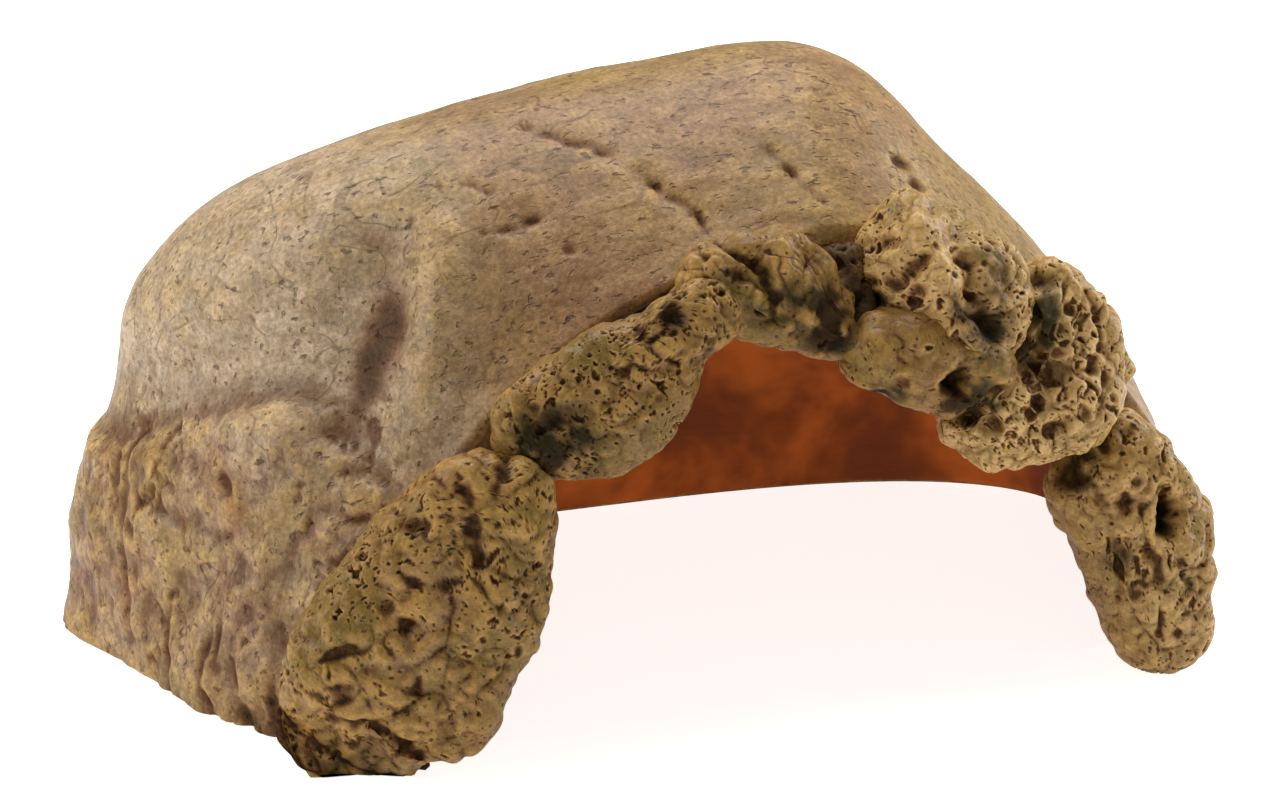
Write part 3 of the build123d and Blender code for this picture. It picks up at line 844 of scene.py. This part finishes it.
def stone_form(stone, p, squares, half):
    """The pillow with its lumps, facets, ridge, grooves and hollows. Lumps move its points
    along their outward directions; a facet cuts off what is in front of a slope; a ridge
    lifts the front; grooves and hollows sink it. It returns the points, how much each one
    belongs to the front, its uneven place across and up, and how far it is sunk."""
    seed, lumps = stone["seed"], stone["lumps"] * settings()[1].lump
    lumpy = lumps * (1.0 * layers(p, 15, 2, seed) + 0.5 * layers(p, 6, 2, seed + 1))
    shaped = p + vertex_normals(p, squares) * lumpy[:, None]
    front = ease(shaped[:, 2] / (0.5 * half) + 0.3)
    for across, up, turn, slope in stone.get("facets", ()):
        past = ((shaped[:, 0] - across) * cos(radians(turn))
                + (shaped[:, 1] - up) * sin(radians(turn)) + 1.2 * noise(shaped, 7, seed + 4))
        sunk_to = np.maximum(shaped[:, 2] - slope * np.maximum(past, 0), -0.1 * half)
        shaped[:, 2] = np.where(shaped[:, 2] > 0, np.minimum(shaped[:, 2], sunk_to),
                                shaped[:, 2])
    spot = bent(bent(shaped, 7, 1.3, seed + 60), 2.5, 0.6, seed + 2)[:, :2]
    if "ridge" in stone:
        line, width, rise = stone["ridge"]
        far, _ = along(shaped[:, :2], line)
        shaped[:, 2] += front * rise * (np.exp(-(far / width) ** 1.4) - 0.35)
    normals = vertex_normals(shaped, squares)
    sunk = np.zeros(len(p))
    ragged = np.clip(0.6 + 0.9 * noise(p, 3.5, seed + 8), 0, 1.3)
    for line, width, deep in stone["grooves"]:
        mark = 0.65 * groove(spot, line, width, 0.5) * ragged
        sunk += deep * (mark + 0.45 * groove(spot, line, 2.6 * width, 0.5)) * front
    for *place, radius, deep in stone["hollows"]:
        sunk += deep * np.exp(-away(spot, place, radius) ** 2.6) * front
    return shaped - normals * sunk[:, None], front, spot, sunk


def stone_holes(stone, p):
    """How deep each point of the pillow is dug, and how much it lies in a hole, from 0 up:
    rounded lumps of two sizes, ragged cavities of three, round pits and a fine crumb."""
    seed = stone["seed"]
    cluster = layers(p, 12, 2, seed + 5)
    run = p * np.array(stone.get("grain", (1, 1, 1)))
    dug = stone["lumps"] * (1.5 * (0.45 - cobbles(p, 8.5, seed + 6))
                            + 0.8 * (0.45 - cobbles(p, 4.2, seed + 7)))
    holes = np.zeros(len(p))
    for k, (size, deep, cover, shown) in enumerate(CAVITIES):
        hole = cavities(run, size, seed + 9 * k + 10, cluster, cover + stone["worn"])
        dug += deep * hole
        holes = np.maximum(holes, hole * shown)
    for k, (spacing, small, large, deep, kept) in enumerate(stone["pit_layers"]):
        bowls = pits(p, spacing, small, large, seed + 20 * k + 7, min(1, 1.4 * kept))
        bowls = bowls * ease(0.7 + cluster)
        dug += deep * bowls
        holes = np.maximum(holes, bowls * 1.4)
    return settings()[1].pit_depth * dug + 0.25 * layers(p, 3.2, 4, seed + 9), holes


def stone_shape(stone, side):
    """A stone's points in its own directions, in millimetres, its squares and its wash of
    hollows, crowns and stain, where the crowns carry a painted highlight and the stain a
    painted shade over the deepest holes. Its holes are dug along the outward directions of its
    form."""
    p, squares, half = pillow(stone, side)
    shaped, front, spot, sunk = stone_form(stone, p, squares, half)
    dug, holes = stone_holes(stone, p)
    shaped = shaped - vertex_normals(shaped, squares) * dug[:, None]
    hollow, crown = hollow_and_crown(shaped, squares, 20, (5, 0.8), (8, 1.3), holes * 0.5)
    stain_and_shade = np.maximum(0.18 * ease(sunk / 2.5), stone.get("dark", 0.0))
    mottle = ease(0.75 + 0.8 * layers(p, 3.5, 2, stone["seed"] + 12))
    # the stains: dark marks, and over the deepest holes a painted shade
    for *place, radius, strength in stone["stains_and_shade"]:
        reached = ease(1.5 - away(spot, place, radius)) * mottle
        stain_and_shade = np.maximum(stain_and_shade, strength * reached * (0.3 + 0.7 * front))
    return shaped, squares, np.stack([hollow, crown, stain_and_shade], axis=1)


def build_stone(name, material, slot, side, *covered):
    """One stone, set on the mouth's rim where the frame has it. What is below the floor is
    lifted to it and drawn in towards its middle, by a share that grows with its depth."""
    stone = STONES[name]
    local, squares, wash = stone_shape(stone, side)
    points = np.array(stone["middle"], float) + local @ np.array(stone_axes(stone))
    low = points[:, 2] < 0
    if low.any():
        drawn = np.clip(-0.25 * points[low, 2:], 0, 0.95)
        points[low, :2] += (points[low, :2].mean(0) - points[low, :2]) * drawn
        points[low, 2] = 0
    return make_piece(name.replace("_stone", "_rock").replace("_fill", "_bed"), points,
                      (squares,), wash, material, slot, name, *covered,
                      pale=stone.get("pale", 0.5))


# ---- materials ----------------------------------------------------------------------------

class Wire:
    """A shader socket. Sums, differences, products and quotients of wires and numbers add
    their Math nodes, so a pattern is written as a plain expression."""

    def __init__(self, tree, socket=None):
        self.tree, self.socket = tree, socket

    def node(self, kind, sockets, output=0, **options):
        """Adds a node of this kind: its options first, with a ramp's stops among them, then
        the values or wires of its sockets."""
        node = self.tree.nodes.new(kind)
        for name, value in options.items():
            setattr(node, name, value)
        for name, value in sockets.items():
            if isinstance(value, Wire):
                self.tree.links.new(value.socket, node.inputs[name])
            else:
                node.inputs[name].default_value = value
        return Wire(self.tree, node.outputs[output])

    def maths(self, operation, *values):
        return self.node("ShaderNodeMath", dict(enumerate((self, *values))),
                         operation=operation)

    def __add__(self, other):
        return self.maths("ADD", other)

    def __sub__(self, other):
        return self.maths("SUBTRACT", other)

    def __rsub__(self, other):
        return self.node("ShaderNodeMath", {0: other, 1: self}, operation="SUBTRACT")

    def __mul__(self, other):
        return self.maths("MULTIPLY", other)

    __radd__, __rmul__ = __add__, __mul__

    def blend(self, low, high, out_low=0.0, out_high=1.0):
        """An eased step from out_low to out_high as the wire goes from low to high."""
        return self.node("ShaderNodeMapRange", {"Value": self, "From Min": low,
                                                "From Max": high, "To Min": out_low,
                                                "To Max": out_high},
                         interpolation_type="SMOOTHSTEP")

    def noise(self, size, detail=3.0, rough=0.55, twist=0.0):
        """Noise of patches this many millimetres across, on this wire's coordinates."""
        return self.node("ShaderNodeTexNoise", {"Vector": self, "Scale": 1 / (size * MM),
                                                "Detail": detail, "Roughness": rough,
                                                "Distortion": twist})

    def dots(self, size):
        """Distance to the nearest of scattered points this many millimetres apart."""
        return self.node("ShaderNodeTexVoronoi", {"Vector": self, "Scale": 1 / (size * MM)})

    def stretched(self, across, deep, up):
        """These coordinates, scaled by a factor each way."""
        return self.node("ShaderNodeMapping", {"Vector": self, "Scale": (across, deep, up)})

    def over(self, under, factor, kind="MIX"):
        """This colour laid over another by a factor."""
        return self.node("ShaderNodeMix", {0: factor, 6: under, 7: self}, output=2,
                         data_type="RGBA", blend_type=kind)


def paint(value):
    """A colour property as a shader colour."""
    return (*value, 1.0)


class Finish:
    """A new material of one colour: its coordinates, its washes and painted light, and its
    Principled shader.
    """

    def __init__(self, name, colour, **constants):
        self.material = bpy.data.materials.new(name)
        self.material.use_nodes = True
        tree = self.material.node_tree
        self.shader = tree.nodes["Principled BSDF"]
        for socket, value in constants.items():
            self.shader.inputs[socket.replace("_", " ")].default_value = value
        self.at = Wire(tree).node("ShaderNodeTexCoord", {}, output="Object")
        wash, self.pale = (
            Wire(tree).node("ShaderNodeAttribute", {}, output=part, attribute_name="wash")
            for part in ("Color", "Alpha"))
        self.hollow, self.crown, self.stain_and_shade = (
            Wire(tree).node("ShaderNodeSeparateColor", {"Color": wash}, output=part)
            for part in ("Red", "Green", "Blue"))
        self.x, self.y, self.z = (
            Wire(tree).node("ShaderNodeSeparateXYZ", {"Vector": self.at}, output=part)
            for part in ("X", "Y", "Z"))
        self.base = self.colour(colour)

    def colour(self, value):
        """A fixed colour as a wire."""
        return self.at.node("ShaderNodeMix", {0: 0.0, 6: paint(value), 7: paint(value)},
                            output=2, data_type="RGBA")

    def mixed(self, under, over, factor):
        """A fixed colour laid over another by a factor."""
        return self.colour(over).over(self.colour(under), factor)

    def lay(self, colour, factor):
        """Lays a colour or a wire over the material's colour by a factor."""
        colour = colour if isinstance(colour, Wire) else self.colour(colour)
        self.base = colour.over(self.base, factor)

    def shade(self, factor):
        """Makes the material's colour lighter or darker by a factor."""
        self.base = self.base.node("ShaderNodeVectorMath", {0: self.base, "Scale": factor},
                                   operation="SCALE")

    def put(self, roughness, height, rise, lacquer):
        """Plugs in the colour, the roughness, a bump of this rise in millimetres and the
        lacquer over it."""
        tree = self.material.node_tree
        bump = self.at.node("ShaderNodeBump", {"Height": height, "Strength": 1.0,
                                               "Distance": rise * MM})
        for socket, wire in (("Base Color", self.base), ("Roughness", roughness),
                             ("Normal", bump), ("Coat Weight", lacquer)):
            tree.links.new(wire.socket, self.shader.inputs[socket])
        return self.material


def lighter(value, factor):
    """A colour times a factor, held at one."""
    return tuple(min(1, part * factor) for part in value)


def shell_finish():
    """Mottled ochre with pinkish and grey washes, pale brushing on the shoulder that also
    paints its sheen, patches, brown streaks low on the flanks and the back, a painted highlight
    on the crowns, painted shade on the belly and in the stain, dark cracks, hairlines and
    specks, and a satin lacquer."""
    hue = settings()[2]
    f = Finish("painted_shell", hue.ochre, Coat_Roughness=0.28, Specular_IOR_Level=0.2)
    tone, cloud = f.at.noise(55, 3, 0.5, 0.4), f.at.noise(34, 4, 0.6, 0.6)
    mottle, speck = f.at.noise(7, 5, 0.7, 0.3), f.at.noise(1.1, 3, 0.7)
    brushed = f.at.stretched(0.3, 1, 1).noise(4.5, 4, 0.65, 0.8)
    f.lay(hue.mauve, tone.blend(0.42, 0.62) * 0.7)
    f.lay(hue.olive, cloud.blend(0.5, 0.68) * 0.3)
    f.lay(hue.rust, brushed.blend(0.5, 0.66) * 0.34)
    # the shoulder: pale chalk brushing and grey mottles, the chalk also a painted sheen of the
    # light from above and behind
    shoulder_brushing_and_sheen = f.x.blend(-0.04, -0.085) * f.z.blend(0.045, 0.068)
    f.lay(hue.stone_grey, mottle.blend(0.36, 0.66) * (0.12 + 0.25 * shoulder_brushing_and_sheen))
    f.lay(hue.chalk, shoulder_brushing_and_sheen * (0.55 + 0.45 * brushed.blend(0.4, 0.6)))
    edge = f.z + 0.02 * f.at.noise(40, 2)
    round_back = f.x.blend(0.075, 0.11).maths("MAXIMUM", f.y.blend(0.04, 0.07))
    flank = (f.x.blend(-0.06, -0.1) * f.z.blend(0.075, 0.05)).maths(
        "MAXIMUM", round_back * edge.blend(0.062, 0.04) * 0.8)
    streak = f.at.stretched(1, 1, 0.3).noise(6, 4, 0.65, 0.5)
    f.lay(hue.chalk, flank * cloud.blend(0.62, 0.42) * 0.35)
    f.lay(hue.terracotta, flank * f.at.noise(15, 3).blend(0.5, 0.66) * 0.4)
    f.lay(hue.ochre, flank * f.at.noise(19, 3).blend(0.5, 0.6) * 0.6)
    f.lay(hue.rust, flank * streak.blend(0.47, 0.66) * 0.7)
    f.lay(hue.umber, f.y.blend(-0.01, -0.05) * flank * streak.blend(0.36, 0.6) * 0.3)
    # painted highlight: lighter ochre on the crowns
    f.lay(lighter(hue.ochre, 1.5), f.crown * 0.45 * mottle.blend(0.3, 0.6))
    # painted shade: the front of the belly darker in rust, as if turned away from the light
    painted_belly_shade = f.y.blend(-0.02, -0.055) * f.x.blend(-0.09, -0.06) * f.z.blend(0.118, 0.09)
    f.lay(hue.rust, painted_belly_shade * (0.1 + 0.3 * cloud.blend(0.4, 0.6)))
    f.lay(hue.rust, f.hollow * 0.6)
    # the stain in rust and umber: dark marks, and painted shade in the crease, the dent and at
    # the top of the mouth's rim
    f.lay(f.mixed(hue.rust, hue.umber, f.stain_and_shade.blend(0.35, 0.95) * 0.8),
          f.stain_and_shade.blend(0.0, 0.7) * 0.85)
    f.shade(speck.blend(0.36, 0.66, 0.76, 1.16) * mottle.blend(0.3, 0.72, 0.76, 1.2))
    hairline = (f.at.stretched(0.7, 1, 1).noise(48, 3, 0.55, 0.5) - 0.5).maths("ABSOLUTE")
    f.lay(hue.umber, hairline.blend(0.005, 0.001) * mottle.blend(0.42, 0.56) * 0.45)
    mark = f.at.stretched(0.6, 1, 1).noise(1.7, 2, 0.5, 0.2).blend(0.6, 0.7)
    f.lay(hue.umber, mark * mottle.blend(0.42, 0.58) * 0.65)
    return f.put(0.44 + 0.2 * mottle + 0.2 * f.stain_and_shade,
                 0.6 * mottle + 0.25 * speck + 0.5 * f.at.noise(2.6, 3) - 0.6 * mark, 0.6,
                 0.26 * (1 - f.stain_and_shade))


def stone_finish():
    """Straw yellow and olive stones, dark and reddish in their pits, dry-brushed pale on their
    crowns with a painted highlight there, with specks, green black in the deepest crevices,
    painted shade over the deepest holes, and a satin lacquer."""
    hue = settings()[2]
    f = Finish("painted_stone", hue.straw, Coat_Roughness=0.18, Specular_IOR_Level=0.15)
    cloud, mottle = f.at.noise(22, 3, 0.5, 0.5), f.at.noise(4.5, 5, 0.65, 0.4)
    speck, grime = f.at.noise(0.8, 3, 0.7), f.at.noise(1.5, 3, 0.6)
    f.lay(hue.olive, cloud.blend(0.44, 0.62) * 0.65)
    f.lay(hue.mauve, f.at.noise(17, 3, 0.5, 0.3).blend(0.54, 0.7) * 0.4)
    f.lay(hue.rust, mottle.blend(0.48, 0.70) * 0.5)
    # painted highlight: lighter straw on the crowns; cream on the crowns of the pale stones is
    # dry brushing and painted highlight
    f.lay(lighter(hue.straw, 1.75), f.crown * 0.9 * mottle.blend(0.25, 0.5))
    f.lay(hue.cream, f.pale.blend(0.45, 1.0) * (0.16 + 0.5 * f.crown))
    f.lay(hue.rust, f.hollow.blend(0.05, 0.55) * 0.7)
    f.lay(hue.umber, f.hollow.blend(0.35, 1.0) * grime.blend(0.3, 0.6, 0.35, 0.9))
    crumbs = grime.blend(0.6, 0.68) * f.at.noise(9, 2).blend(0.45, 0.58)
    f.lay(hue.umber, crumbs * 0.65)
    # the stain in umber and moss: dark marks and green black crevices, and painted shade over
    # the deepest holes and on the wedge
    f.lay(f.mixed(hue.umber, hue.moss, cloud.blend(0.4, 0.6)), f.stain_and_shade.blend(0.1, 0.9) * 0.92)
    dots = f.at.dots(1.9).blend(0.22, 0.12) * f.at.noise(8, 2).blend(0.46, 0.6)
    f.lay(hue.umber, dots * 0.7)
    f.shade(speck.blend(0.35, 0.7, 0.8, 1.12) * (0.7 + 0.6 * f.pale))
    height = 0.8 * mottle + 0.3 * speck + 0.5 * f.at.noise(1.7, 3) - 0.8 * dots - 0.5 * crumbs
    return f.put(0.4 + 0.2 * mottle + 0.2 * f.hollow + 0.2 * f.stain_and_shade, height, 0.6,
                 0.32 * (1 - f.stain_and_shade) * (1 - f.hollow))


def coat_finish():
    """Blotchy brushed terracotta with a faint painted glow: an ember emission and ember patches
    on its waves.
    """
    hue = settings()[2]
    f = Finish("terracotta_coat", hue.terracotta, Coat_Roughness=0.28,
               Specular_IOR_Level=0.15, Emission_Strength=hue.painted_glow)
    cloud, brushed = f.at.noise(38, 4, 0.55, 0.25), f.at.stretched(0.25, 1, 1).noise(3, 3)
    f.lay(hue.rust, cloud.blend(0.35, 0.75) * 0.6)
    # painted glow: ember laid into the colour on the coat's waves
    f.lay(hue.ember, f.hollow.blend(0.5, 1.0) * 0.25)
    # painted glow: the coat emits ember light, though it is no lamp
    painted_glow = f.mixed((0, 0, 0), hue.ember, cloud.blend(0.56, 0.36))
    f.material.node_tree.links.new(painted_glow.socket, f.shader.inputs["Emission Color"])
    return f.put(0.34 + 0.3 * brushed, 0.6 * cloud + 0.4 * brushed, 0.8, 0.12 * brushed)


def gravel_finish():
    """Dark green brown grit with grey grains."""
    hue = settings()[2]
    f = Finish("gravel_fill", hue.umber, Coat_Roughness=0.4, Specular_IOR_Level=0.2)
    grains, clump = f.at.dots(1.3), f.at.noise(4, 4, 0.7)
    f.lay(hue.olive, clump.blend(0.42, 0.65))
    f.lay(hue.stone_grey, grains.blend(0.4, 0.1) * 0.45)
    f.lay(hue.moss, f.hollow * 0.8)
    return f.put(0.6 + 0.2 * grains, clump - grains, 1.1, 0.1 * grains)


def putty_finish():
    """Dark brown putty, a little lumpy."""
    hue = settings()[2]
    f = Finish("resin_putty", hue.umber, Coat_Roughness=0.4, Specular_IOR_Level=0.2)
    lump = f.at.noise(3, 4, 0.6)
    f.lay(hue.olive, lump.blend(0.45, 0.75) * 0.35)
    return f.put(0.55 + 0.2 * lump, lump, 0.5, 0.1 * lump)


# ---- operators, panel and main --------------------------------------------------------------

class CAVE_OT_shell(Operator):
    """Builds the painted outer wall"""
    bl_idname = "cave.shell"
    bl_label = "Build Shell"

    def execute(self, context):
        build_shell(shell_finish())
        return {"FINISHED"}


class CAVE_OT_coat(Operator):
    """Builds the terracotta coat inside"""
    bl_idname = "cave.coat"
    bl_label = "Build Coat"

    def execute(self, context):
        build_coat(coat_finish())
        return {"FINISHED"}


# Each stone's share of the detail, and the gravel's squares along a ball's side.
GRAVEL_SIDE = 60
STONE_SHARES = {"left_foot_stone": 1.0, "left_arch_stone": 0.87, "right_foot_stone": 0.87,
                "rough_stone": 0.87, "ridge_stone": 0.8, "top_stone": 0.72,
                "brow_stone": 0.64, "wedge_stone": 0.34}


class CAVE_OT_stones(Operator):
    """Builds the pitted stones round the mouth"""
    bl_idname = "cave.stones"
    bl_label = "Build Stones"

    def execute(self, context):
        finish = stone_finish()
        for name, part in STONE_SHARES.items():
            covered = ("left_foot_bond",) if name == "left_foot_stone" else ()
            build_stone(name, finish, "painted_stone", round(settings()[1].detail * part),
                        *covered)
        return {"FINISHED"}


class CAVE_OT_gravel(Operator):
    """Builds the gritty fill between two stones"""
    bl_idname = "cave.gravel"
    bl_label = "Build Gravel"

    def execute(self, context):
        build_stone("gravel_fill", gravel_finish(), "gravel_fill", GRAVEL_SIDE)
        return {"FINISHED"}


class CAVE_OT_putty(Operator):
    """Gives the putty that bonds each stone its finish"""
    bl_idname = "cave.putty"
    bl_label = "Finish Putty"

    def execute(self, context):
        finish = putty_finish()
        for name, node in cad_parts.items():
            if name.endswith("_bond"):
                node.data.materials.clear()
                node.data.materials.append(finish)
        return {"FINISHED"}


# The stage, in metres: the floor's half width and its top, which is just below the cave; its
# own light, even and for the camera; each light's place and size, and what they face; and
# the point the camera looks at, in millimetres in the mouth's frame.
FLOOR_HALF, FLOOR_TOP, FLOOR_LIGHT = 12.0, -0.0002, (0.38, 0.6)
LIGHTS = {"key": ((-0.85, 0.1, 0.5), 0.7), "fill": ((0.85, 0.05, 0.45), 0.6),
          "top": ((0.05, 0.3, 0.95), 0.8), "front": ((-0.2, -1.1, 0.6), 0.7)}
LIT_POINT, AIM = (0, 0, 0.05), (-7.458, 66.112, 48.0)


def seen_by_camera(tree):
    """1 for a ray straight from the camera and 0 for any other."""
    return Wire(tree).node("ShaderNodeLightPath", {}, output="Is Camera Ray")


class CAVE_OT_stage(Operator):
    """Sets the pale floor, the soft lights and the camera"""
    bl_idname = "cave.stage"
    bl_label = "Set Stage"

    def add(self, name, data, place=(0, 0, 0), facing=None):
        """An object at a place, turned so that it faces this direction."""
        thing = bpy.data.objects.new(name, data)
        thing.location = place
        if facing is not None:
            thing.rotation_euler = facing.to_track_quat("-Z", "Y").to_euler()
        bpy.context.scene.collection.objects.link(thing)
        return thing

    def execute(self, context):
        scene, stage = context.scene, settings()[3]
        mesh = bpy.data.meshes.new("floor")
        corners = ((-1, -1), (1, -1), (1, 1), (-1, 1))
        mesh.from_pydata([(x * FLOOR_HALF, y * FLOOR_HALF, FLOOR_TOP) for x, y in corners],
                         [], [(0, 1, 2, 3)])
        pale = bpy.data.materials.new("floor")
        pale.use_nodes = True
        board = pale.node_tree.nodes["Principled BSDF"]
        for socket, value in (("Base Color", paint(stage.floor)), ("Roughness", 0.9),
                              ("Emission Color", paint(stage.floor))):
            board.inputs[socket].default_value = value
        even, direct = FLOOR_LIGHT
        light = even + direct * seen_by_camera(pale.node_tree)
        pale.node_tree.links.new(light.socket, board.inputs["Emission Strength"])
        mesh.materials.append(pale)
        floor = self.add("floor", mesh)
        scene.world = bpy.data.worlds.new("studio")
        scene.world.use_nodes = True
        tree = scene.world.node_tree
        sky = tree.nodes["Background"]
        sky.inputs["Color"].default_value = (1.0, 1.0, 1.0, 1.0)
        light = stage.sky + (1 - stage.sky) * seen_by_camera(tree)
        tree.links.new(light.socket, sky.inputs["Strength"])
        for name, (place, size) in LIGHTS.items():
            lamp = bpy.data.lights.new(name, "AREA")
            lamp.energy, lamp.size = getattr(stage, name), size
            self.add(name, lamp, place, Vector(LIT_POINT) - Vector(place))
        lens = bpy.data.cameras.new("camera")
        lens.lens, lens.sensor_width = stage.lens, 36.0
        lens.clip_start, lens.clip_end = 0.01, 50.0
        level = cos(stage.elevation)
        back = Vector((-sin(stage.azimuth) * level, -cos(stage.azimuth) * level,
                       sin(stage.elevation)))
        aim = Vector(origin()) + Vector(AIM) * MM
        scene.camera = self.add("camera", lens, aim + back * stage.distance, -back)
        scene.view_settings.view_transform = "Standard"
        return {"FINISHED"}


OPERATORS = (CAVE_OT_shell, CAVE_OT_coat, CAVE_OT_stones, CAVE_OT_gravel, CAVE_OT_putty,
             CAVE_OT_stage)


class CAVE_PT_panel(Panel):
    """The cave's pieces, in the order they are built"""
    bl_label = "Resin Hide Cave"
    bl_idname = "CAVE_PT_panel"
    bl_space_type = "VIEW_3D"
    bl_region_type = "UI"
    bl_category = "Cave"

    def draw(self, context):
        for operator in OPERATORS:
            self.layout.operator(operator.bl_idname)
        for name, group in SETTINGS.items():
            box = self.layout.box()
            for prop in group.__annotations__:
                box.prop(getattr(context.scene, name), prop)


SETTINGS = {"cave_shell": ShellSettings, "cave_stones": StoneSettings,
            "cave_finish": FinishSettings, "cave_stage": StageSettings}


def register():
    for cls in (*SETTINGS.values(), *OPERATORS, CAVE_PT_panel):
        bpy.utils.register_class(cls)
    for name, group in SETTINGS.items():
        setattr(bpy.types.Scene, name, PointerProperty(type=group))


def unregister():
    for name in SETTINGS:
        delattr(bpy.types.Scene, name)
    for cls in (CAVE_PT_panel, *reversed(OPERATORS), *reversed(SETTINGS.values())):
        bpy.utils.unregister_class(cls)


def main():
    """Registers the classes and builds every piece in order."""
    register()
    for operator in OPERATORS:
        step = operator.bl_idname.split(".")[1]
        getattr(bpy.ops.cave, step)()


if __name__ == "__main__":
    main()
